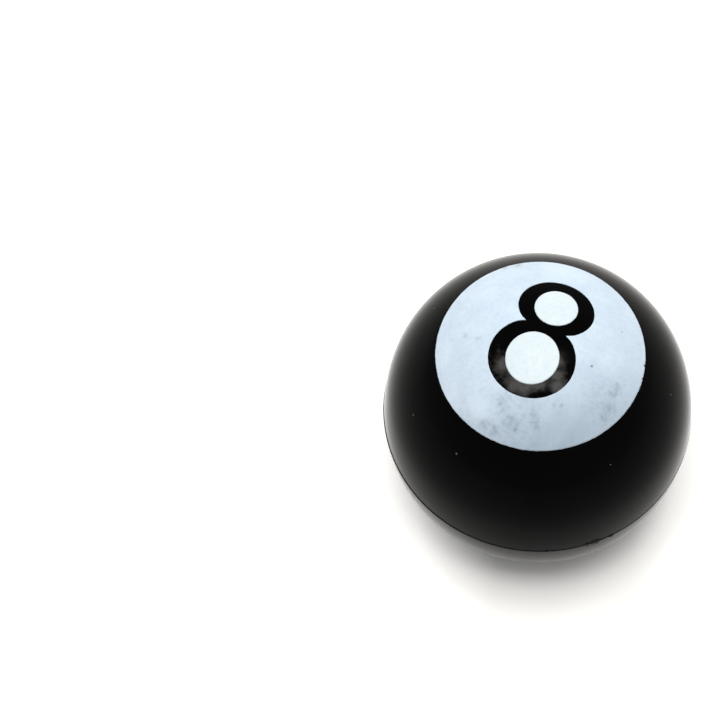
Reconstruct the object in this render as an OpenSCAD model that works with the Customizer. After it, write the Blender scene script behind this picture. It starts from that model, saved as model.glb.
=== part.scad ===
// Screw-on tyre valve cap made to look like a small pool ball with the number 8.
// Two moulded half shells close over a brass thread insert and a rubber seal washer.
// Millimetres, +Z up: the origin is the centre of the flat foot, the valve enters
// from below along +Z, and the top of the printed figure points along +Y.

/* [Ball] */
// Diameter of the upper half shell
ball_d = 20; // [19:0.5:26]
// How far the lower half shell stands proud of the upper one at the seam
rim_step = 0.2; // [0.05:0.05:0.3]
// Wall thickness of both half shells
shell_wall = 1.8; // [1.4:0.1:2.2]
// Diameter of the flat foot that the ball stands on
foot_d = 12.8; // [12.6:0.2:14]

/* [Seam] */
// Chamfer on both rims, which shows as the dark line round the ball
seam_chamfer = 0.1; // [0.05:0.01:0.2]
// Wall thickness of the tongue on the lower rim
tongue_wall = 0.7; // [0.5:0.1:0.9]
// Height of the tongue above the seam
tongue_h = 1.2; // [0.8:0.1:2]
// Clearance between the tongue and its rebate
seam_gap = 0.04; // [0.02:0.01:0.1]

/* [Gate stub] */
// Width of the broken moulding gate on the upper rim
gate_w = 0.9; // [0.5:0.1:1.6]
// How far the gate stub stands out of the upper half shell
gate_out = 0.3; // [0.15:0.05:0.5]
// How deep the stub is rooted in the wall
gate_root = 0.4; // [0.2:0.1:0.7]
// Place of the gate round the seam, counted from +X
gate_angle = -46; // [-180:1:180]

/* [Valve thread] */
// Outside diameter of the valve's thread, 8V1 size
thread_major_d = 7.75; // [7.6:0.01:7.9]
// Pitch of the valve's thread, 32 turns to the inch
thread_pitch = 0.794; // [0.7:0.002:0.9]
// Diameter of the hole in the insert before its thread is cut
tap_d = 7.25; // [6.9:0.05:7.4]
// Depth of the lead-in cone at the mouth
lead_in = 0.5; // [0.2:0.1:0.8]

/* [Thread insert] */
// Outside diameter of the brass insert
insert_d = 10; // [9.6:0.1:10.4]
// Length of the brass insert
insert_len = 7.4; // [6:0.2:8.2]
// How far the insert's end lies inside the foot
insert_recess = 0.4; // [0.2:0.1:1]
// Number of grooves in the straight knurl
knurl_count = 30; // [16:1:40]
// Depth of the knurl grooves
knurl_depth = 0.2; // [0.1:0.05:0.3]
// Width of the ring groove that locks the insert in its boss
lock_groove_w = 1.4; // [0.8:0.1:2]
// Depth of the ring groove
lock_groove_depth = 0.4; // [0.2:0.05:0.6]
// Clearance of the insert and the washer in their socket
press_gap = 0.02; // [0.01:0.01:0.05]

/* [Insert boss] */
// Wall thickness of the boss round the insert
boss_wall = 1.2; // [0.8:0.1:1.4]
// Thickness of the roof that closes the boss
boss_roof = 1.2; // [0.8:0.1:1.6]
// Number of ribs between the boss and the shell
rib_count = 4; // [3:1:8]
// Thickness of each rib
rib_t = 1; // [0.6:0.1:1.6]
// How far the ribs stop below the seam
rib_drop = 1; // [0.5:0.1:3]
// How deep the ribs are rooted in the shell wall
rib_root = 0.5; // [0.2:0.1:1]

/* [Seal washer] */
// Thickness of the rubber washer that the valve's mouth closes on
washer_t = 1.2; // [0.8:0.1:1.6]

/* [Number print] */
// Diameter of the white spot, seen from above
spot_d = 13; // [11:0.1:15]
// Thickness of the printed film
film_t = 0.05; // [0.03:0.01:0.1]
// Distance between the centres of the two counters of the 8
counter_pitch = 3.75; // [3.5:0.05:4]
// Distance of the middle of the 8 from the spot's centre
figure_shift = 0.4; // [0:0.05:0.8]
// Diameter of the upper counter
upper_counter_d = 2.74; // [2.2:0.02:3]
// Diameter of the lower counter
lower_counter_d = 3.36; // [2.8:0.02:3.6]
// Width of the upper loop of the 8
upper_loop_w = 4.8; // [4.4:0.05:5.4]
// Height of the upper loop
upper_loop_h = 4.08; // [3.8:0.02:4.6]
// Width of the lower loop
lower_loop_w = 5.42; // [5:0.02:6]
// Height of the lower loop
lower_loop_h = 4.94; // [4.6:0.02:5.4]
// How far the lower loop's middle lies above its counter's middle
lower_loop_lift = 0.1; // [0:0.02:0.3]

/* [Hidden] */

$fn = 96;

// Colours of the materials
plastic_black = [0.02, 0.02, 0.022];
print_white = [0.85, 0.9, 0.96];
brass_yellow = [0.72, 0.55, 0.25];
rubber_grey = [0.12, 0.12, 0.12];

// A cutter runs this far past the face that it cuts
cut_over = 1;
// Half the angle between the flanks of the thread
thread_flank = 30;
// Width of the flat at the thread's root, in pitches
thread_root = 0.125;
// The crest between two turns of the thread keeps at least this width
crest_least = 0.05;
// The thread cutter reaches this far into the bore
groove_over = 0.05;
// Sections of the thread in one turn
thread_steps = 32;
// Angle between the points of an elliptical outline
outline_step = 5;

upper_r = ball_d / 2;
lower_r = upper_r + rim_step;
hollow_r = upper_r - shell_wall;
foot_r = foot_d / 2;
tongue_r = hollow_r + tongue_wall;
film_r = upper_r + film_t;

// Height of the ball's centre and of the seam above the foot
ball_z = sqrt(lower_r * lower_r - foot_r * foot_r);

socket_d = insert_d + 2 * press_gap;
washer_z = insert_recess + insert_len;
socket_h = washer_z + washer_t;
boss_d = socket_d + 2 * boss_wall;
boss_h = socket_h + boss_roof;

upper_counter_y = figure_shift + counter_pitch / 2;
lower_counter_y = figure_shift - counter_pitch / 2;

module at_centre() {
    translate([0, 0, ball_z])
        children();
}

// The half space above the seam, wide enough for the gate stub
module above_seam() {
    at_centre()
        cylinder(r = lower_r + cut_over, h = lower_r + cut_over);
}

// The half space between the foot and the seam
module below_seam() {
    cylinder(r = lower_r + cut_over, h = ball_z);
}

// The space inside the two shells
module hollow() {
    at_centre()
        sphere(r = hollow_r);
}

// A ring that bevels a rim of radius rim_r: side is 1 above the seam, -1 below it
module rim_bevel(rim_r, side) {
    outer = rim_r + cut_over;
    at_centre()
        rotate_extrude()
            polygon([
                [rim_r - seam_chamfer, 0],
                [outer, 0],
                [outer, side * (seam_chamfer + cut_over)],
            ]);
}

// Half-round stub where the plastic entered the mould, at the rim of the upper shell
module gate_stub() {
    intersection() {
        rotate([0, 0, gate_angle])
            translate([upper_r - gate_root, 0, ball_z])
                rotate([0, 90, 0])
                    cylinder(d = gate_w, h = gate_root + gate_out);
        above_seam();
    }
}

module upper_shell() {
    color(plastic_black)
        union() {
            difference() {
                intersection() {
                    at_centre()
                        sphere(r = upper_r);
                    above_seam();
                }
                hollow();
                // Rebate for the tongue of the lower shell
                translate([0, 0, ball_z - cut_over])
                    cylinder(r = tongue_r + seam_gap, h = cut_over + tongue_h + seam_gap);
                rim_bevel(upper_r, 1);
            }
            gate_stub();
        }
}

// Bowl with its flat foot, and the tongue that centres the upper shell
module lower_bowl() {
    difference() {
        union() {
            intersection() {
                at_centre()
                    sphere(r = lower_r);
                below_seam();
            }
            translate([0, 0, ball_z - tongue_h])
                cylinder(r = tongue_r, h = 2 * tongue_h);
        }
        hollow();
    }
}

// Closed boss that holds the insert and the washer
module insert_boss() {
    intersection() {
        cylinder(d = boss_d, h = boss_h);
        at_centre()
            sphere(r = lower_r);
    }
}

module boss_ribs() {
    intersection() {
        union() {
            for (k = [0 : rib_count - 1])
                rotate([0, 0, k * 360 / rib_count])
                    translate([0, -rib_t / 2, 0])
                        cube([lower_r, rib_t, ball_z - rib_drop]);
        }
        at_centre()
            sphere(r = hollow_r + rib_root);
    }
}

module lower_shell() {
    color(plastic_black)
        difference() {
            union() {
                lower_bowl();
                insert_boss();
                boss_ribs();
            }
            translate([0, 0, -cut_over])
                cylinder(d = socket_d, h = cut_over + socket_h);
            rim_bevel(lower_r, -1);
        }
}

module knurl_grooves() {
    groove_side = knurl_depth * sqrt(2);
    for (k = [0 : knurl_count - 1])
        rotate([0, 0, k * 360 / knurl_count])
            translate([insert_d / 2, 0, insert_len / 2])
                rotate([0, 0, 45])
                    cube([groove_side, groove_side, insert_len + 2 * cut_over], center = true);
}

module lock_groove() {
    translate([0, 0, (insert_len - lock_groove_w) / 2])
        rotate_extrude()
            translate([insert_d / 2 - lock_groove_depth, 0])
                square([lock_groove_depth + cut_over, lock_groove_w]);
}

// Cutter for the right-hand thread: a trapezoid carried up a helix, past both ends of the insert.
// Its corners run from the flat at the root to the open side in the bore. In a deep thread the
// flanks grow steeper, so that they leave a crest between the turns.
module thread_groove() {
    root_r = thread_major_d / 2;
    open_r = tap_d / 2 - groove_over;
    root_half = thread_root * thread_pitch / 2;
    flank_half = root_half + (root_r - open_r) * tan(thread_flank);
    open_half = min(flank_half, (thread_pitch - crest_least) / 2);
    section = [
        [root_r, -root_half],
        [root_r, root_half],
        [open_r, open_half],
        [open_r, -open_half],
    ];
    corners = len(section);
    rings = ceil((insert_len / thread_pitch + 1) * thread_steps);
    points = [
        for (i = [0 : rings], c = section)
            let (turn = i / thread_steps)
            [c.x * cos(360 * turn), c.x * sin(360 * turn), c.y + (turn - 0.5) * thread_pitch]
    ];
    sides = [
        for (i = [0 : rings - 1], c = [0 : corners - 1])
            let (d = (c + 1) % corners, p = i * corners, q = p + corners)
            each [[p + c, p + d, q + d], [p + c, q + d, q + c]]
    ];
    first_end = [for (c = [1 : corners]) corners - c];
    last_end = [for (c = [0 : corners - 1]) rings * corners + c];
    polyhedron(points, concat(sides, [first_end, last_end]));
}

// The tapped hole with its thread, and the cone that leads the valve in
module thread_insert() {
    color(brass_yellow)
        translate([0, 0, insert_recess])
            difference() {
                cylinder(d = insert_d, h = insert_len);
                translate([0, 0, -cut_over])
                    cylinder(d = tap_d, h = insert_len + 2 * cut_over);
                translate([0, 0, -cut_over])
                    cylinder(
                        d1 = tap_d + 2 * (lead_in + cut_over),
                        d2 = tap_d,
                        h = lead_in + cut_over
                    );
                thread_groove();
                lock_groove();
                knurl_grooves();
            }
}

module seal_washer() {
    color(rubber_grey)
        translate([0, 0, washer_z])
            cylinder(d = insert_d, h = washer_t);
}

module ellipse(w, h) {
    polygon([for (a = [0 : outline_step : 359]) [w / 2 * cos(a), h / 2 * sin(a)]]);
}

// Outline of the 8, which is left bare so that the black plastic shows
module figure_outline() {
    translate([0, upper_counter_y])
        ellipse(upper_loop_w, upper_loop_h);
    translate([0, lower_counter_y + lower_loop_lift])
        ellipse(lower_loop_w, lower_loop_h);
}

// A patch of film on the upper shell, under the flat shape that is its child
module printed() {
    color(print_white)
        intersection() {
            at_centre()
                difference() {
                    sphere(r = film_r);
                    sphere(r = upper_r);
                }
            at_centre()
                linear_extrude(film_r + cut_over)
                    children();
        }
}

module number_spot() {
    printed()
        difference() {
            circle(d = spot_d);
            figure_outline();
        }
}

module upper_counter() {
    printed()
        translate([0, upper_counter_y])
            circle(d = upper_counter_d);
}

module lower_counter() {
    printed()
        translate([0, lower_counter_y])
            circle(d = lower_counter_d);
}

upper_shell();
lower_shell();
thread_insert();
seal_washer();
number_spot();
upper_counter();
lower_counter();
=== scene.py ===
import bpy
import numpy as np
from mathutils import Matrix, Vector


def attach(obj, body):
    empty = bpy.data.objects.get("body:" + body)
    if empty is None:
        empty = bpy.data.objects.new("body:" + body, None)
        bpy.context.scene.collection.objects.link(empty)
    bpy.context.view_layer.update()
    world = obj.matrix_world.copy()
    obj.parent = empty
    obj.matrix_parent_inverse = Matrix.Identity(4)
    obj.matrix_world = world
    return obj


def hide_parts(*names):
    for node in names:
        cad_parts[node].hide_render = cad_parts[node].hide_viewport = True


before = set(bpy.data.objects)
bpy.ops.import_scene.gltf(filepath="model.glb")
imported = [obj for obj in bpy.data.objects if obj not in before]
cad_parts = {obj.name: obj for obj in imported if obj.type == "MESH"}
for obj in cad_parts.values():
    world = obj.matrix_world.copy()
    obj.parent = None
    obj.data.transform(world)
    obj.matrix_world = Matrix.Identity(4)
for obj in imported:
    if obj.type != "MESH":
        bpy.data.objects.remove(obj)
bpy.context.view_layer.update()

# Lower half shell: the bowl of the ball with its flat foot, moulded in black plastic.
# Inside, a closed boss holds the brass insert and four ribs carry it. A tongue on the
# rim centres the upper half, which is glued on.
MM = 0.001
upper_r = 10.0
lower_r = 10.2
foot_r = 6.4
hollow_r = 8.2
seam_z = np.sqrt(lower_r**2 - foot_r**2)
skin_from = 9.6
sharp_angle = np.radians(50.0)
tip_r = 0.4
foot_edge = 0.25
tongue_r = 8.9
tongue_top = seam_z + 1.2
tongue_in = 8.112
tongue_edge = 0.1
socket_r = 5.02
socket_top = 9.0
socket_edge = 0.15
mouth_edge = 0.2
boss_r = 6.22
boss_top = 10.2
boss_tilt = -40.66
boss_edge = 0.2
rib_top = seam_z - 1.0
rib_half = 0.5
rib_root = 0.4
rib_end = 8.39
rib_bowl = 8.5
rib_edge = 0.1
seam_r = 10.1
rim_swell = 0.09
askew_turn = np.radians(-85.0)
rim_edge = 0.02
rim_fade = 20.0
belly = 0.15
belly_tilt = 52.0
gate_turn = np.radians(-46.0)
flash_turn = np.radians(-63.0)
flash_out = 0.06
flash_width = np.radians(0.8)
flash_fade = 0.5
burr_turn = gate_turn + 0.1
burr_out = 0.04
burr_width = np.radians(3.0)
burr_waves = 90


def bend(start, corner, end, steps=6):
    """Rounded corner of a profile: a quadratic curve from start to end, drawn towards the corner."""
    t = np.linspace(0, 1, steps)[:, None]
    start, corner, end = np.array(start), np.array(corner), np.array(end)
    return (1 - t) ** 2 * start + 2 * t * (1 - t) * corner + t**2 * end


def ball_point(radius, elevation):
    """Point (radius, height) of a circle about the ball's centre, which lies at the seam's height."""
    angle = np.radians(elevation)
    return np.stack([radius * np.cos(angle), seam_z + radius * np.sin(angle)], axis=-1)


def ball_arc(radius, first, last, steps):
    """Arc of the ball's outline between two elevations in degrees, in equal steps of angle."""
    return ball_point(radius, np.linspace(first, last, steps))


def tilts(profile):
    """Elevation in degrees of each point of a profile, seen from the ball's centre."""
    return np.degrees(np.arctan2(profile[:, 1] - seam_z, profile[:, 0]))[:, None]


def on_skin(profile):
    """Whether each point of a profile lies on the outer skin of the ball."""
    return (np.hypot(profile[:, 0], profile[:, 1] - seam_z) > skin_from)[:, None]


def rim_radius(turns):
    """Radius of the ball at the seam. The halves sit a little askew, so the seam swells towards
    askew_turn and shrinks as much on the other side: seam_r + rim_swell * cos(turn - askew_turn)."""
    return seam_r + rim_swell * np.cos(turns - askew_turn)


def crowded_turns(count, places, width, gain):
    """Angles of a full turn that crowd round the given places: equal shares of the area under
    1 + gain * exp(-(distance / width)^2), summed over the places."""
    fine = np.linspace(-np.pi, np.pi, 40 * count + 1)
    density = 1 + gain * np.exp(-(((fine[:, None] - np.array(places)) / width) ** 2)).sum(axis=1)
    area = np.concatenate([[0], np.cumsum((density[1:] + density[:-1]) / 2)])
    return np.interp(np.linspace(0, area[-1], count, endpoint=False), area, fine)


def turned(profile, turns):
    """Rings of a turned surface: each point (radius, height) of the profile goes round the axis."""
    radius = profile[:, 0, None]
    height = profile[:, 1, None]
    return np.stack([radius * np.cos(turns), radius * np.sin(turns), height + 0 * turns], axis=-1)


def skin(rings, tips=None):
    """Closed skin over rings (ring, turn, xyz). Four-sided faces join each ring to the next one.
    With tips, fans close the first and the last ring; without, the last ring joins the first."""
    count, turns = rings.shape[:2]
    number = np.arange(count * turns).reshape(count, turns)
    this = number if tips is None else number[:-1]
    after = np.roll(number, -1, axis=0)[: len(this)]
    quads = np.stack([this, np.roll(this, -1, axis=1), np.roll(after, -1, axis=1), after], axis=-1)
    points = rings.reshape(-1, 3)
    fans = np.empty((0, 3), int)
    if tips is not None:
        tip = np.full(turns, count * turns)
        start = np.stack([tip, np.roll(number[0], -1), number[0]], axis=1)
        end = np.stack([tip + 1, number[-1], np.roll(number[-1], -1)], axis=1)
        fans = np.concatenate([start, end])
        points = np.concatenate([points, np.array(tips, float)])
    return points, quads.reshape(-1, 4), fans


def make_piece(name, material, *skins):
    """Mesh object of the skins, in metres, at the origin, shaded smooth but for its sharp edges."""
    points = np.concatenate([s[0] for s in skins]) * MM
    offsets = np.cumsum([0] + [len(s[0]) for s in skins])
    faces = []
    for (_, quads, fans), offset in zip(skins, offsets):
        faces += (quads + offset).tolist() + (fans + offset).tolist()
    mesh = bpy.data.meshes.new(name)
    mesh.from_pydata(points.tolist(), [], faces)
    mesh.polygons.foreach_set("use_smooth", np.ones(len(mesh.polygons), bool))
    mesh.set_sharp_from_angle(angle=sharp_angle)
    mesh.materials.append(material)
    piece = bpy.data.objects.new(name, mesh)
    bpy.context.scene.collection.objects.link(piece)
    return piece


def new_finish(name, sockets):
    """Material with one principled shader, its even values set on the shader's own sockets."""
    material = bpy.data.materials.new(name)
    material.use_nodes = True
    for socket, value in sockets.items():
        material.node_tree.nodes["Principled BSDF"].inputs[socket].default_value = value
    return material


def add_node(material, kind, sockets, **settings):
    """New node of a material: settings are its properties, and each socket gets a value or a link."""
    node = material.node_tree.nodes.new(kind)
    for key, value in settings.items():
        setattr(node, key, value)
    for key, value in sockets.items():
        if isinstance(value, bpy.types.NodeSocket):
            material.node_tree.links.new(value, node.inputs[key])
        else:
            node.inputs[key].default_value = value
    return node


def to_shader(material, socket, output):
    """Links an output to one of the principled shader's sockets."""
    shader = material.node_tree.nodes["Principled BSDF"]
    material.node_tree.links.new(output, shader.inputs[socket])


def place(material, stretch=(1, 1, 1)):
    """The piece's own coordinates in millimetres, stretched along each axis."""
    here = add_node(material, "ShaderNodeTexCoord", {}).outputs["Object"]
    scale = [s / MM for s in stretch]
    return add_node(material, "ShaderNodeMapping", {"Vector": here, "Scale": scale}).outputs["Vector"]


def mottle(material, per_mm, detail=3.0, stretch=(1, 1, 1)):
    """Soft noise with that many blotches to the millimetre."""
    sockets = {"Vector": place(material, stretch), "Scale": per_mm, "Detail": detail}
    return add_node(material, "ShaderNodeTexNoise", sockets).outputs["Fac"]


def levels(material, value, from_low, from_high, to_low, to_high):
    """A value carried from one range to another and held within it."""
    sockets = {
        "Value": value,
        "From Min": from_low,
        "From Max": from_high,
        "To Min": to_low,
        "To Max": to_high,
    }
    return add_node(material, "ShaderNodeMapRange", sockets).outputs["Result"]


def tint(material, share, first, second):
    """Colour between the first and the second, by a share from 0 to 1."""
    sockets = {0: share, 6: first, 7: second}
    return add_node(material, "ShaderNodeMix", sockets, data_type="RGBA").outputs[2]


def combine(material, operation, first, second):
    """Two values joined by arithmetic."""
    return add_node(material, "ShaderNodeMath", {0: first, 1: second}, operation=operation).outputs[0]


def relief(material, height, strength, depth_mm):
    """Normal of a surface raised by a height from 0 to 1."""
    sockets = {"Height": height, "Strength": strength, "Distance": depth_mm * MM}
    return add_node(material, "ShaderNodeBump", sockets).outputs["Normal"]


def dabs(material, marks):
    """Soft marks on the dome, each (x, y, radius) in millimetres: 1 in the middle, 0 at the radius.
    Their height follows from the ball, and noise stretches and shrinks their outlines."""
    total = 0.0
    here = place(material)
    uneven = levels(material, mottle(material, 2.6, 5.0), 0.3, 0.7, 0.6, 1.5)
    for x, y, radius in marks:
        middle = (x, y, seam_z + np.sqrt(upper_r**2 - x**2 - y**2))
        far = add_node(material, "ShaderNodeVectorMath", {0: here, 1: middle}, operation="DISTANCE")
        reach = combine(material, "MULTIPLY", far.outputs["Value"], uneven)
        dab = levels(material, reach, 0.25 * radius, radius, 1.0, 0.0)
        total = combine(material, "MAXIMUM", dab, total)
    return total


def black_plastic(name, dust, haze_and_painted_light, haze_gaps, scar):
    """Moulded black plastic: a little uneven gloss, faint waves of the mould, specks of dust,
    and a grey haze in blotches, partly smeared ink residue and partly a painted reflection of the
    overhead box, with gaps at the marks given after the haze. Where the piece's own attribute of the
    name in scar is 1, the plastic broke and turned dull and paler."""
    material = new_finish(name, {"IOR": 1.08, "Sheen Weight": 0.75, "Sheen Roughness": 0.25})
    deep = (0.0004, 0.0004, 0.0005, 1)
    cloudy = (0.0009, 0.0009, 0.0008, 1)
    # Grey of the haze: partly ink residue, partly a painted reflection of the overhead box.
    residue_and_reflection_grey = (0.092, 0.089, 0.086, 1)
    dusty = (0.16, 0.155, 0.14, 1)
    broken_tone = (0.04, 0.042, 0.036, 1)
    cloud = levels(material, mottle(material, 0.35), 0.3, 0.7, 0.0, 1.0)
    black = tint(material, cloud, deep, cloudy)
    if haze_and_painted_light:
        blotches = levels(material, mottle(material, 2.6, 6.0), 0.32, 0.68, 0.65, 1.0)
        haze_area = combine(material, "SUBTRACT", dabs(material, haze_and_painted_light), dabs(material, haze_gaps))
        haze_area = combine(material, "MAXIMUM", haze_area, 0.0)
        # The haze's share of the colour: residue and painted reflection together.
        residue_and_reflection = combine(material, "MULTIPLY", combine(material, "MULTIPLY", haze_area, haze_area), blotches)
        black = tint(material, residue_and_reflection, black, residue_and_reflection_grey)
    gloss = levels(material, mottle(material, 1.6, 4.0), 0.3, 0.7, 0.09, 0.16)
    if dust:
        speck = dabs(material, dust)
        black = tint(material, speck, black, dusty)
        gloss = combine(material, "MAXIMUM", gloss, combine(material, "MULTIPLY", speck, 0.7))
    if scar:
        torn = add_node(material, "ShaderNodeAttribute", {}, attribute_name=scar).outputs["Fac"]
        black = tint(material, torn, black, broken_tone)
        gloss = combine(material, "MAXIMUM", gloss, combine(material, "MULTIPLY", torn, 0.6))
    to_shader(material, "Base Color", black)
    to_shader(material, "Roughness", gloss)
    to_shader(material, "Normal", relief(material, mottle(material, 1.2, 2.0), 0.08, 0.01))
    return material


lower_profile = np.concatenate(
    [
        np.array([[tip_r, socket_top]]),
        bend(
            (socket_r - socket_edge, socket_top),
            (socket_r, socket_top),
            (socket_r, socket_top - socket_edge),
        ),
        bend((socket_r, mouth_edge), (socket_r, 0), (socket_r + mouth_edge, 0)),
        bend((foot_r - foot_edge, 0), (foot_r, 0), ball_point(lower_r, -49.8), 10),
        ball_arc(lower_r, -49, -3, 40),
        ball_arc(lower_r, -2.7, -0.5, 14),
        bend(ball_point(lower_r, -0.3), (lower_r, seam_z), (lower_r - rim_edge, seam_z), 7),
        bend((tongue_r + tongue_edge, seam_z), (tongue_r, seam_z), (tongue_r, seam_z + tongue_edge)),
        bend(
            (tongue_r, tongue_top - tongue_edge),
            (tongue_r, tongue_top),
            (tongue_r - tongue_edge, tongue_top),
        ),
        bend((hollow_r, tongue_top), (tongue_in, tongue_top), ball_point(hollow_r, 7.8)),
        ball_arc(hollow_r, 7, -38, 24),
        bend(ball_point(hollow_r, -39), ball_point(hollow_r, boss_tilt), (boss_r, seam_z - 5.1)),
        bend((boss_r, boss_top - boss_edge), (boss_r, boss_top), (boss_r - boss_edge, boss_top)),
        np.array([[tip_r, boss_top]]),
    ]
)
lower_turns = crowded_turns(540, [gate_turn, flash_turn], np.radians(6), 4)
lower_rings = turned(lower_profile, lower_turns)

# The bowl follows the askew rim, is a little fuller below it, and carries scraps of flash by the
# gate, where the mould did not quite close.
lower_tilt = tilts(lower_profile)
fuller = belly * np.sin(np.pi * np.clip(-lower_tilt / belly_tilt, 0, 1)) ** 2
flash = flash_out * np.exp(-(((lower_turns - flash_turn) / flash_width) ** 2))
near_burr = np.exp(-(((lower_turns - burr_turn) / burr_width) ** 2))
burr = burr_out * (1 + np.sin(burr_waves * lower_turns)) * near_burr
rim_shift = (rim_radius(lower_turns) - lower_r) * np.exp(-((lower_tilt / rim_fade) ** 2))
rim_shift = rim_shift + (flash + burr) * np.exp(-((lower_tilt / flash_fade) ** 2)) + fuller
lower_reach = lower_profile[:, 0, None] + rim_shift * on_skin(lower_profile)
lower_rings[..., 0] = lower_reach * np.cos(lower_turns)
lower_rings[..., 1] = lower_reach * np.sin(lower_turns)

# Each rib is a plate between the boss and the bowl, rooted in both.
rib_r = np.linspace(boss_r - rib_root, rib_end, 16)
rib_floor = seam_z - np.sqrt(rib_bowl**2 - rib_r**2)
rib_side = np.concatenate(
    [
        bend((-rib_half, 1.0), (-rib_half, 0.0), (-rib_half, 0.0), 2),
        bend((rib_half, 0.0), (rib_half, 0.0), (rib_half, 0.9), 2),
        bend((rib_half, 0.97), (rib_half, 1.0), (rib_half - rib_edge, 1.0), 5),
        bend((rib_edge - rib_half, 1.0), (-rib_half, 1.0), (-rib_half, 0.97), 5),
    ]
)[1:]
rib_height = rib_floor[:, None] + (rib_top - rib_floor)[:, None] * rib_side[:, 1]
rib_out = rib_r[:, None] + 0 * rib_height
rib_across = rib_side[:, 0] + 0 * rib_height
rib_grid = np.stack([rib_out, rib_across, rib_height], axis=-1)
quarter = np.array([[0, 1, 0], [-1, 0, 0], [0, 0, 1]])
rib_grids = [rib_grid @ np.linalg.matrix_power(quarter, k) for k in range(4)]
rib_skins = [skin(g, [g[0].mean(axis=0), g[-1].mean(axis=0)]) for g in rib_grids]

lower_finish = black_plastic("lower_half_plastic", [], [], [], "")
lower_skin = skin(lower_rings, [(0, 0, socket_top), (0, 0, boss_top)])
lower_half = make_piece("lower_half", lower_finish, lower_skin, *rib_skins)
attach(lower_half, "root")
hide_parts("lower_shell")

# Thread insert: a turned brass bush with the female valve thread, pressed into the boss.
# A straight knurl and a ring groove hold it, and a cone at the mouth leads the valve in.
insert_r = 5.0
insert_low = 0.4
insert_high = 7.8
thread_r = 3.875
tap_r = 3.625
pitch = 0.794
root_half = 0.0625 * pitch
flank_slope = np.tan(np.radians(30))
flank_width = (thread_r - tap_r) * flank_slope
lead_in = 0.5
insert_bevel = 0.12
knurls = 30
knurl_depth = 0.2
groove_z = 4.1
groove_depth = 0.4
groove_half = 0.7
groove_edge = 0.02


def bore_radius(height, turns):
    """Radius of the bore: a trapezoid thread that climbs one pitch in each turn to the right, with its
    grooves centred on whole pitches at turn zero, or the lead-in cone where that is wider."""
    from_groove = np.abs((height / pitch - turns / (2 * np.pi) + 0.5) % 1 - 0.5) * pitch
    flank = (root_half + flank_width - from_groove) / flank_slope
    thread = np.clip(flank, 0, thread_r - tap_r)
    return np.maximum(tap_r + thread, tap_r + lead_in - (height - insert_low))


def round_axis(radius, turns, height):
    """Points at a radius, a turn and a height."""
    return np.stack([radius * np.cos(turns), radius * np.sin(turns), height + 0 * radius], axis=-1)


def insert_skin(turns):
    """Skin of the insert. Rows of the bore climb with the thread and stop at its two end rings, so the
    last column meets the first one a pitch higher. From the lower ring plain rings run out along the
    foot, up the outside, which loses V grooves and one ring groove, and in along the top."""
    count = len(turns)
    flank_end = root_half + flank_width
    within = np.concatenate(
        [
            np.linspace(-flank_end, -root_half, 4, endpoint=False),
            np.linspace(-root_half, root_half, 4, endpoint=False),
            np.linspace(root_half, flank_end, 4, endpoint=False),
            np.linspace(flank_end, pitch - flank_end, 10, endpoint=False),
        ]
    )
    start = (pitch * np.arange(-2, 11)[:, None] + within).reshape(-1, 1)
    height = start + pitch * turns / (2 * np.pi)
    clear = 0.01
    below = height < insert_low + clear
    beyond = height > insert_high - clear
    inside = ~(below | beyond)
    number = np.where(below, np.arange(count), count + np.arange(count))
    number[inside] = 2 * count + np.arange(inside.sum())
    ends = np.array([[insert_low], [insert_high]])
    end_rings = round_axis(bore_radius(ends, turns), turns, ends).reshape(-1, 3)
    bore_turns = np.broadcast_to(turns, height.shape)[inside]
    bore_z = height[inside]
    bore = round_axis(bore_radius(bore_z, bore_turns), bore_turns, bore_z)
    meets = np.concatenate([number[len(within) :, 0], np.full(len(within), count)])
    number = np.column_stack([number, meets])
    a, b, c, d = number[:-1, :-1], number[:-1, 1:], number[1:, 1:], number[1:, :-1]
    halves = [np.stack([a, c, b], axis=-1), np.stack([a, d, c], axis=-1)]
    sides = np.concatenate([half.reshape(-1, 3) for half in halves])
    real = (sides != np.roll(sides, 1, axis=1)).all(axis=1)

    groove_out = groove_half + groove_edge
    groove_in = groove_half - groove_edge
    groove_rows = groove_z + np.array([-groove_out, -groove_in, groove_in, groove_out])
    outer_z = np.sort(np.concatenate([np.linspace(insert_low, insert_high, 24), groove_rows]))[:, None]
    to_end = np.minimum(outer_z - insert_low, insert_high - outer_z)
    bevel = np.clip(insert_bevel - to_end, 0, insert_bevel)
    in_groove = np.clip((groove_out - np.abs(outer_z - groove_z)) / (2 * groove_edge), 0, 1)
    groove = groove_depth * in_groove
    spacing = 2 * np.pi / knurls
    across = np.abs((turns / spacing + 0.5) % 1 - 0.5) * spacing * insert_r
    teeth = np.clip(knurl_depth - across, 0, None)
    outside = insert_r - np.maximum(np.maximum(bevel, groove), teeth + 0 * outer_z)
    share = np.linspace(0, 1, 5)[1:-1, None]
    mouth, end = bore_radius(ends, turns)
    foot_rows = mouth + (outside[0] - mouth) * share
    top_rows = outside[-1] + (end - outside[-1]) * share
    radius = np.concatenate([foot_rows, outside, top_rows])
    rings_z = np.concatenate([insert_low + 0 * share, outer_z, insert_high + 0 * share])
    rings = round_axis(radius, turns, rings_z)
    points = np.concatenate([end_rings, bore, rings.reshape(-1, 3)])
    middle = 2 * count + len(bore) + np.arange(rings.shape[0] * count).reshape(-1, count)
    order = np.concatenate([[np.arange(count)], middle, [count + np.arange(count)]])
    this, after = order[:-1], order[1:]
    quads = np.stack([this, np.roll(this, -1, axis=1), np.roll(after, -1, axis=1), after], axis=-1)
    return points, quads.reshape(-1, 4), sides[real]


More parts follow.
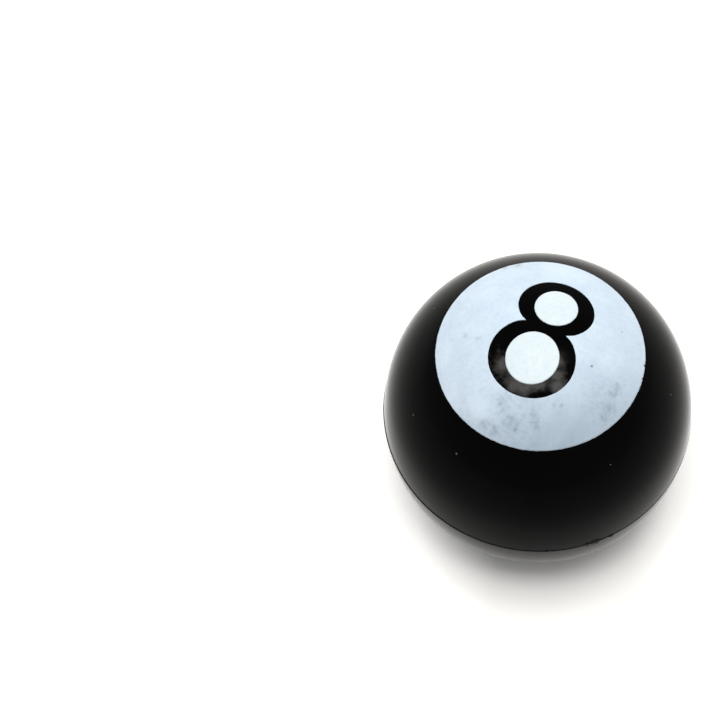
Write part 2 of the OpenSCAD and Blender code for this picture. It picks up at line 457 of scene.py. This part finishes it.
brass = new_finish("turned_brass", {"Metallic": 1.0})
brass_tone = levels(brass, mottle(brass, 0.6, 5.0), 0.3, 0.7, 0.0, 1.0)
to_shader(brass, "Base Color", tint(brass, brass_tone, (0.56, 0.38, 0.15, 1), (0.76, 0.57, 0.27, 1)))
turning_marks = mottle(brass, 1.0, 2.0, (0.3, 0.3, 14.0))
to_shader(brass, "Roughness", levels(brass, turning_marks, 0.3, 0.7, 0.2, 0.38))
to_shader(brass, "Normal", relief(brass, turning_marks, 0.15, 0.01))
insert_turns = np.linspace(0, 2 * np.pi, 240, endpoint=False)
brass_insert = make_piece("brass_insert", brass, insert_skin(insert_turns))
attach(brass_insert, "root")
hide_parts("thread_insert")

# Seal washer: a disc cut from black rubber sheet, pushed to the end of the socket.
# The valve's mouth closes on it.
washer_low = insert_high
washer_high = socket_top
washer_edge = 0.12
washer_profile = np.concatenate(
    [
        np.column_stack([np.linspace(tip_r, insert_r - 0.3, 8), np.full(8, washer_low)]),
        bend(
            (insert_r - washer_edge, washer_low),
            (insert_r, washer_low),
            (insert_r, washer_low + washer_edge),
        ),
        bend(
            (insert_r, washer_high - washer_edge),
            (insert_r, washer_high),
            (insert_r - washer_edge, washer_high),
        ),
        np.array([[tip_r, washer_high]]),
    ]
)
rubber = new_finish("washer_rubber", {"IOR": 1.45})
rubber_bloom = levels(rubber, mottle(rubber, 0.8, 6.0), 0.35, 0.7, 0.0, 1.0)
rubber_clean = (0.012, 0.012, 0.012, 1)
rubber_grey = (0.035, 0.034, 0.033, 1)
to_shader(rubber, "Base Color", tint(rubber, rubber_bloom, rubber_clean, rubber_grey))
to_shader(rubber, "Roughness", levels(rubber, mottle(rubber, 5.0), 0.3, 0.7, 0.65, 0.85))
to_shader(rubber, "Normal", relief(rubber, mottle(rubber, 9.0, 4.0), 0.3, 0.02))
washer_rings = turned(washer_profile, np.linspace(0, 2 * np.pi, 160, endpoint=False))
washer_skin = skin(washer_rings, [(0, 0, washer_low), (0, 0, washer_high)])
rubber_washer = make_piece("rubber_washer", rubber, washer_skin)
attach(rubber_washer, "root")
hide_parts("seal_washer")

# Upper half shell: the polished dome, moulded in the same black plastic and glued over the tongue.
# The stub of the gate, where the plastic ran into the mould, was broken off at its rim. A lobe of
# the stub is (place along the rim, half width, height).
rebate_r = 8.94
rebate_top = seam_z + 1.24
rebate_in = 8.106
rebate_edge = 0.05
rim_ledge = 0.055
ledge_turn = np.radians(-125.0)
flare_tilt = 14.0
gate_out = 0.12
gate_lobes = [(0.14, 0.38, 0.12), (-0.38, 0.16, 0.09)]
upper_profile = np.concatenate(
    [
        np.array([ball_point(hollow_r, 87.5)]),
        ball_arc(hollow_r, 84, 10, 24),
        bend(ball_point(hollow_r, 9.2), (rebate_in, rebate_top), (hollow_r, rebate_top)),
        bend(
            (rebate_r - rebate_edge, rebate_top),
            (rebate_r, rebate_top),
            (rebate_r, rebate_top - rebate_edge),
        ),
        bend((rebate_r, seam_z + rebate_edge), (rebate_r, seam_z), (rebate_r + rebate_edge, seam_z)),
        bend((upper_r - rim_edge, seam_z), (upper_r, seam_z), ball_point(upper_r, 0.3), 7),
        ball_arc(upper_r, 0.45, 3.3, 20),
        ball_arc(upper_r, 3.6, 88.5, 64),
    ]
)
upper_turns = crowded_turns(560, [gate_turn], np.radians(3), 7)
upper_rings = turned(upper_profile, upper_turns)

# The dome flares towards the rim to meet the lower half, whose rim stays a hair's breadth proud, most
# so at ledge_turn. The stub broke off in two lobes: rows near the rim move out by a dome over a half
# ellipse each, and sines along and across it make the break uneven.
ledge = rim_ledge * (0.6 + 0.4 * np.cos(upper_turns - ledge_turn))
flare = np.clip(1 - tilts(upper_profile) / flare_tilt, 0, 1) ** 2
flare = flare * (rim_radius(upper_turns) - ledge - upper_r)
upper_reach = upper_profile[:, 0, None] + flare * on_skin(upper_profile)
along = upper_r * (upper_turns - gate_turn)
above = upper_profile[:, 1, None] - seam_z
lobes = [1 - ((along - at) / half) ** 2 - (above / rise) ** 2 for at, half, rise in gate_lobes]
stub = np.sqrt(np.clip(np.maximum(*lobes), 0, 1)) * on_skin(upper_profile) * (above > 0)
broken = 0.85 + 0.3 * np.sin(19 * along + 4) * np.sin(41 * above + 1) + 0.15 * np.sin(43 * along)
upper_reach = upper_reach + (ledge + gate_out * broken) * stub
upper_rings[..., 0] = upper_reach * np.cos(upper_turns)
upper_rings[..., 1] = upper_reach * np.sin(upper_turns)

upper_dust = [(-2.2, -7.6, 0.09), (-5.9, -6.05, 0.08), (8.15, 1.7, 0.08), (6.6, -4.4, 0.06)]
upper_dust += [(-7.6, 0.8, 0.05)]
# Grey on the 8's lower loop: partly ink residue, partly a painted reflection of the overhead box; the
# gaps keep parts of the loop black.
figure_haze_and_reflection = [(0.2, -2.7, 2.2), (-1.4, -2.4, 0.95), (-0.3, -3.4, 0.8), (0.3, -3.2, 1.2)]
figure_haze_and_reflection += [(1.05, -2.75, 0.85), (2.15, -2.4, 0.95), (1.8, -1.8, 0.75), (1.45, -1.1, 0.8)]
figure_haze_gaps = [(1.1, -3.6, 0.45), (1.5, -3.38, 0.5), (1.85, -3.12, 0.4)]
upper_finish = black_plastic("upper_half_plastic", upper_dust, figure_haze_and_reflection, figure_haze_gaps, "scar")
upper_skin = skin(upper_rings, [(0, 0, seam_z + hollow_r), (0, 0, seam_z + upper_r)])
upper_half = make_piece("upper_half", upper_finish, upper_skin)
scar = upper_half.data.attributes.new("scar", "FLOAT", "POINT")
scar.data.foreach_set("value", np.append(np.clip(3 * stub, 0, 1), [0, 0]))
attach(upper_half, "root")
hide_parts("upper_shell")

# Printed number: one thin layer of pale blue-white ink, pad printed on the dome. It is three islands:
# the round spot with the 8 left bare, and the two counters inside the loops of the 8. An oval is
# (x, y, half width, half height), a cut (turn in degrees, depth) and a nick (turn, width, depth).
film_r = 10.05
film_keyed = 9.985
film_edge = 0.07
film_drop = 0.05
spot_oval = (0.0, 0.03, 6.45, 6.51)
upper_loop = (0.03, 2.39, 2.37, 2.05)
lower_loop = (0.0, -1.34, 2.67, 2.49)
upper_counter = (0.03, 2.36, 1.33, 1.345)
lower_counter = (0.05, -1.38, 1.62, 1.665)
figure_y = 0.66
waist_cuts = [(2.6, 0.125), (176.1, 0.13)]
waist_cut_width = 5.0
edge_nicks = [(11.0, 0.5, 0.1), (3.0, 0.35, 0.08)]
chance = np.random.default_rng(8)


def ragged(turns, size):
    """Uneven edge of the ink: sines of 9 to 159 waves in a turn, weaker as they get finer."""
    waves = np.arange(9, 160, 5)
    phases = chance.uniform(0, 2 * np.pi, len(waves))
    ripples = np.sin(waves[:, None] * turns + phases[:, None]) / np.sqrt(waves[:, None])
    return size * ripples.sum(axis=0)


def ellipse_exit(turns, ellipse, start_y):
    """How far a ray from (0, start_y) runs before it leaves an ellipse (x, y, half width, half
    height): the larger root of the quadratic for where the ray meets the edge, or 0 for none."""
    x, y, half_w, half_h = ellipse
    dx, dy = np.cos(turns) / half_w, np.sin(turns) / half_h
    ox, oy = -x / half_w, (start_y - y) / half_h
    a, b, c = dx * dx + dy * dy, ox * dx + oy * dy, ox * ox + oy * oy - 1
    root = b * b - a * c
    return np.where(root > 0, (-b + np.sqrt(np.maximum(root, 0))) / a, 0)


def on_ball(x, y, radius):
    """Points of the ball of that radius straight above x, y."""
    return np.stack([x, y, seam_z + np.sqrt(radius**2 - x * x - y * y)], axis=-1)


def film_rows(inner, outer):
    """Rows across a film of ink, as a share from the inner to the outer edge and the radius of the
    ball that the row lies on: out along the underside and back along the top, which falls by
    film_drop in a soft edge as wide as film_edge."""
    width = np.mean(outer - inner)
    quarter_turn = np.linspace(0, np.pi / 2, 5)
    soft = film_edge * (1 - np.cos(quarter_turn)) / width
    drop = film_r - film_drop * (1 - np.sin(quarter_turn)) ** 2
    flat = np.linspace(0.02, 0.98, 18)
    under = np.linspace(0, 1, 10)
    share = np.concatenate([under, 1 - soft, flat[::-1], soft[::-1]])
    height = np.concatenate([film_keyed + 0 * under, drop, film_r + 0 * flat, drop[::-1]])
    return share[:, None], height[:, None]


def pale_ink(name, thin, thick):
    """Printed ink between two tones in soft clouds, with a fine grain."""
    material = new_finish(name, {"IOR": 1.25})
    clouds = levels(material, mottle(material, 0.7, 6.0), 0.32, 0.68, 0.0, 1.0)
    grain = levels(material, mottle(material, 4.0, 4.0), 0.45, 0.75, 0.0, 0.3)
    shade = [0.8 * c for c in thin[:3]] + [1]
    tone = tint(material, grain, tint(material, clouds, thin, thick), shade)
    gloss = levels(material, mottle(material, 2.5, 4.0), 0.3, 0.7, 0.3, 0.42)
    to_shader(material, "Roughness", gloss)
    return material, tone


spot_ink, spot_tone = pale_ink("spot_ink", (0.665, 0.785, 0.905, 1), (0.745, 0.87, 0.975, 1))
counter_ink, counter_tone = pale_ink("counter_ink", (0.78, 0.885, 0.92, 1), (0.82, 0.915, 0.945, 1))

# Handling wore the spot, most in its lower part: scuffs and smears, stains, dents and pinholes, with
# paler patches where the ink kept its tone. A grey haze in streaks darkens it towards the bottom,
# partly smudged ink and partly painted shade.
darkening_way = (0.6, -0.8, 0.0)
darkening_sockets = {0: place(spot_ink), 1: darkening_way}
darkening = add_node(spot_ink, "ShaderNodeVectorMath", darkening_sockets, operation="DOT_PRODUCT")
wear_and_painted_shade = levels(spot_ink, darkening.outputs["Value"], 1.8, 6.4, 0.0, 0.78)
streaks = levels(spot_ink, mottle(spot_ink, 1.1, 6.0, (1.2, 0.6, 0.6)), 0.3, 0.7, 0.7, 1.0)
haze_and_painted_light = combine(spot_ink, "MULTIPLY", wear_and_painted_shade, streaks)
# Grey towards the bottom of the spot: partly smudged ink, partly painted shade.
spot_tone = tint(spot_ink, haze_and_painted_light, spot_tone, (0.37, 0.46, 0.55, 1))
flecks = levels(spot_ink, mottle(spot_ink, 4.0, 4.0, (0.8, 1.3, 1.0)), 0.43, 0.7, 0.0, 1.0)
scuffed = dabs(spot_ink, [(0.3, -5.2, 2.6), (5.0, -1.8, 1.9)])
scuffs = combine(spot_ink, "MULTIPLY", levels(spot_ink, scuffed, 0.0, 1.0, 0.0, 0.28), flecks)
smear_marks = [(-0.68, -4.5, 0.45), (-0.5, -4.85, 0.4), (0.3, -5.15, 0.5), (0.18, -5.4, 0.45)]
smear_marks += [(0.65, -5.12, 0.4), (0.73, -5.5, 0.35), (1.5, -4.4, 0.4), (1.65, -4.65, 0.45)]
smear_marks += [(1.85, -4.95, 0.4), (-1.05, -5.85, 0.6), (-0.4, -6.0, 0.6), (2.35, -3.42, 0.2)]
smear_marks += [(2.78, -3.28, 0.2), (5.25, -0.65, 0.5), (5.2, -1.05, 0.45), (5.35, -1.9, 0.55)]
smear_marks += [(5.2, -2.55, 0.4)]
smear_grain = levels(spot_ink, mottle(spot_ink, 3.4, 6.0), 0.3, 0.7, 0.1, 0.62)
smears = combine(spot_ink, "MULTIPLY", dabs(spot_ink, smear_marks), smear_grain)
dirt = combine(spot_ink, "MAXIMUM", smears, scuffs)
spot_tone = tint(spot_ink, dirt, spot_tone, (0.23, 0.3, 0.39, 1))
pale_marks = [(-1.75, -5.05, 1.2), (-0.9, 5.75, 2.2)]
pale_patch = combine(spot_ink, "MULTIPLY", dabs(spot_ink, pale_marks), streaks)
pale_share = levels(spot_ink, pale_patch, 0.0, 1.0, 0.0, 0.95)
spot_tone = tint(spot_ink, pale_share, spot_tone, (0.765, 0.895, 1.0, 1))
stain_marks = [(-3.8, 5.15, 0.6), (-3.3, 5.3, 0.4), (-4.4, 4.6, 0.35)]
stain_grain = levels(spot_ink, mottle(spot_ink, 3.0, 5.0), 0.42, 0.65, 0.0, 0.6)
stains = combine(spot_ink, "MULTIPLY", dabs(spot_ink, stain_marks), stain_grain)
spot_tone = tint(spot_ink, stains, spot_tone, (0.3, 0.29, 0.25, 1))
pinhole_marks = [(3.46, -0.28, 0.14), (4.15, 2.95, 0.09), (0.8, -5.53, 0.09), (5.4, -1.9, 0.07)]
pinholes = dabs(spot_ink, pinhole_marks)
spot_tone = tint(spot_ink, pinholes, spot_tone, (0.22, 0.19, 0.2, 1))
dents = dabs(spot_ink, [(-4.4, -1.3, 0.2), (-3.6, -1.3, 0.22), (-3.45, -1.2, 0.12)])
dent_share = levels(spot_ink, dents, 0.0, 1.0, 0.0, 0.35)
to_shader(spot_ink, "Base Color", tint(spot_ink, dent_share, spot_tone, (0.35, 0.4, 0.45, 1)))
dent_depth = combine(spot_ink, "MULTIPLY", dents, 2.0)
spot_waves = combine(spot_ink, "SUBTRACT", mottle(spot_ink, 2.2, 4.0), dent_depth)
to_shader(spot_ink, "Normal", relief(spot_ink, spot_waves, 0.15, 0.012))

counter_specks = dabs(counter_ink, [(0.05, -0.55, 0.09), (0.4, -0.45, 0.06), (-0.5, 2.9, 0.05)])
speck_share = levels(counter_ink, counter_specks, 0.0, 1.0, 0.0, 0.5)
to_shader(counter_ink, "Base Color", tint(counter_ink, speck_share, counter_tone, (0.4, 0.42, 0.4, 1)))
to_shader(counter_ink, "Normal", relief(counter_ink, mottle(counter_ink, 2.2, 4.0), 0.15, 0.012))

spot_turns = np.linspace(0, 2 * np.pi, 1400, endpoint=False)
upper_exit = ellipse_exit(spot_turns, upper_loop, figure_y)
lower_exit = ellipse_exit(spot_turns, lower_loop, figure_y)
figure_edge = np.maximum(upper_exit, lower_exit)
for at, depth in waist_cuts:
    from_cut = (spot_turns - np.radians(at) + np.pi) % (2 * np.pi) - np.pi
    figure_edge = figure_edge - depth * np.exp(-((from_cut / np.radians(waist_cut_width)) ** 2))
figure_edge = figure_edge + ragged(spot_turns, 0.005)
spot_edge = ellipse_exit(spot_turns, spot_oval, figure_y) + ragged(spot_turns, 0.008)
for at, width, depth in edge_nicks:
    from_nick = (spot_turns - np.radians(at)) / np.radians(width)
    spot_edge = spot_edge - depth * np.exp(-(from_nick**2))
spot_share, spot_height = film_rows(figure_edge, spot_edge)
spot_reach = figure_edge + (spot_edge - figure_edge) * spot_share
spot_x = spot_reach * np.cos(spot_turns)
spot_y = figure_y + spot_reach * np.sin(spot_turns)
spot_grid = on_ball(spot_x, spot_y, spot_height)
spot_print = make_piece("spot_print", spot_ink, skin(spot_grid))
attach(spot_print, "root")
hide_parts("number_spot")

counter_turns = np.linspace(0, 2 * np.pi, 360, endpoint=False)


def counter_skin(counter):
    """Oval of ink (x, y, half width, half height) on the ball: the film's rows from its middle to its
    ragged edge, as shares of the oval. The first row and the last five would fall on the middle, which
    the tips close."""
    x, y, half_w, half_h = counter
    edge = 1 + ragged(counter_turns, 0.0027)
    share, height = film_rows(0 * edge, half_w * edge)
    least_share = 0.02
    share, height = share[1:-5], height[1:-5]
    reach = edge * np.maximum(share, least_share)
    grid_x = x + half_w * reach * np.cos(counter_turns)
    grid_y = y + half_h * reach * np.sin(counter_turns)
    tips = on_ball(np.array([x, x]), np.array([y, y]), np.array([film_keyed, film_r]))
    return skin(on_ball(grid_x, grid_y, height), tips)


upper_counter_print = make_piece("upper_counter_print", counter_ink, counter_skin(upper_counter))
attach(upper_counter_print, "root")
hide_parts("upper_counter")
lower_counter_print = make_piece("lower_counter_print", counter_ink, counter_skin(lower_counter))
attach(lower_counter_print, "root")
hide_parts("lower_counter")

# Floor: a wide sheet of white paper, which keeps the ball's shadow.
# A little light of its own, seen by the eye and in gloss only, takes it to white clear of the ball
# and lifts it beside the ball, more at the left than at the right.
floor_half = 1500.0
view_turn = np.radians(20.18)
behind = np.array([-np.sin(view_turn), np.cos(view_turn), 0])
right = np.array([np.cos(view_turn), np.sin(view_turn), 0])
shade_from, shade_to = 7.3, 10.2
shade_light, clear_light = 0.025, 0.28
far_from, far_to, far_light = 30.0, 500.0, 0.6
left_from, left_to, left_light = -2.0, -7.5, 0.2
right_from, right_to, right_light = 7.0, 9.5, 0.09


def seen_at_all(material):
    """1 for what the eye sees, straight or by gloss or glass, and 0 for light on its way to other
    things: the largest of the three kinds of ray."""
    path = add_node(material, "ShaderNodeLightPath", {}).outputs
    by_eye = combine(material, "MAXIMUM", path["Is Camera Ray"], path["Is Glossy Ray"])
    return combine(material, "MAXIMUM", by_eye, path["Is Transmission Ray"])


floor_corners = np.array([[-1, -1, 0], [1, -1, 0], [1, 1, 0], [-1, 1, 0]]) * floor_half * MM
floor_mesh = bpy.data.meshes.new("floor")
floor_mesh.from_pydata(floor_corners.tolist(), [], [(0, 1, 2, 3)])
paper_sockets = {"Roughness": 0.9, "Specular IOR Level": 0.0, "Emission Color": (1, 1, 1, 1)}
paper = new_finish("white_paper", paper_sockets)
paper_grain = levels(paper, mottle(paper, 0.02, 4.0), 0.3, 0.7, 0.0, 1.0)
paper_tones = [(0.94, 0.912, 0.865, 1), (0.955, 0.928, 0.882, 1)]
to_shader(paper, "Base Color", tint(paper, paper_grain, *paper_tones))
paper_place = place(paper)
length = add_node(paper, "ShaderNodeVectorMath", {0: paper_place}, operation="LENGTH")
from_ball = length.outputs["Value"]
sideways = add_node(paper, "ShaderNodeVectorMath", {0: paper_place, 1: right}, operation="DOT_PRODUCT")
aside = sideways.outputs["Value"]
far_lift = levels(paper, from_ball, far_from, far_to, 0.0, far_light)
left_lift = levels(paper, aside, left_to, left_from, left_light, 0.0)
right_lift = levels(paper, aside, right_from, right_to, 0.0, right_light)
own_light = levels(paper, from_ball, shade_from, shade_to, shade_light, clear_light)
for lift in (far_lift, left_lift, right_lift):
    own_light = combine(paper, "ADD", own_light, lift)
to_shader(paper, "Emission Strength", combine(paper, "MULTIPLY", seen_at_all(paper), own_light))
floor_mesh.materials.append(paper)
floor = bpy.data.objects.new("floor", floor_mesh)
bpy.context.scene.collection.objects.link(floor)

# Studio light: a large soft box hangs overhead and leans a little to the back, in a room that is
# pale behind the ball and dim in front, and white where the eye looks at it.
up = np.array([0, 0, 1])
ball_middle = np.array([0, 0, seam_z])
box_lean = np.radians(2.0)
box_distance = 400.0
box_size = (260.0, 214.0)
box_radiance = 7.5
room_front = 0.02
room_back = 0.54

box_aim = up * np.cos(box_lean) + behind * np.sin(box_lean)
box_place = (ball_middle + box_aim * box_distance) * MM
box_axes = np.column_stack([right, np.cross(box_aim, right), box_aim, box_place])
box_lamp = bpy.data.lights.new("overhead_box", "AREA")
box_lamp.shape = "RECTANGLE"
box_lamp.size = box_size[0] * MM
box_lamp.size_y = box_size[1] * MM
box_lamp.energy = np.pi * box_lamp.size * box_lamp.size_y * box_radiance
overhead_box = bpy.data.objects.new("overhead_box", box_lamp)
overhead_box.matrix_world = Matrix(box_axes.tolist() + [[0, 0, 0, 1]])
bpy.context.scene.collection.objects.link(overhead_box)

room = bpy.data.worlds.new("room")
room.use_nodes = True
room_light = room.node_tree.nodes["Background"]
room_light.inputs["Color"].default_value = (1, 1, 1, 1)
room_way = add_node(room, "ShaderNodeTexCoord", {}).outputs["Generated"]
room_turn = add_node(room, "ShaderNodeVectorMath", {0: room_way, 1: behind}, operation="DOT_PRODUCT")
room_strength = levels(room, room_turn.outputs["Value"], -1.0, 1.0, room_front, room_back)
room_strength = combine(room, "MAXIMUM", room_strength, seen_at_all(room))
room.node_tree.links.new(room_strength, room_light.inputs["Strength"])
bpy.context.scene.world = room

# Camera: close above the ball, in front and a little to the right, with the ball off the middle
# of the square picture. It first looks straight at the ball, rolls, then swings the ball to its place.
view_height = np.radians(65.79)
view_distance = 110.13
view_roll = np.radians(3.594)
picture = 720
focal = 1660.0
ball_at = (536.56, 404.76)
to_camera = -behind * np.cos(view_height) + up * np.sin(view_height)
camera_spot = (ball_middle + to_camera * view_distance) * MM
lens_up = np.cross(to_camera, right)
rolled = np.column_stack(
    [
        right * np.cos(view_roll) + lens_up * np.sin(view_roll),
        lens_up * np.cos(view_roll) - right * np.sin(view_roll),
        to_camera,
    ]
)
ball_ray = Vector(((ball_at[0] - picture / 2) / focal, (picture / 2 - ball_at[1]) / focal, -1))
swing = np.array(ball_ray.rotation_difference(Vector((0, 0, -1))).to_matrix())
camera_axes = rolled @ swing
lens = bpy.data.cameras.new("camera")
lens.sensor_width = 36.0
lens.lens = focal / picture * lens.sensor_width
lens.clip_start = 0.005
lens.clip_end = 10.0
camera = bpy.data.objects.new("camera", lens)
camera.matrix_world = Matrix(np.column_stack([camera_axes, camera_spot]).tolist() + [[0, 0, 0, 1]])
bpy.context.scene.collection.objects.link(camera)
bpy.context.scene.camera = camera
bpy.context.scene.view_settings.view_transform = "Standard"
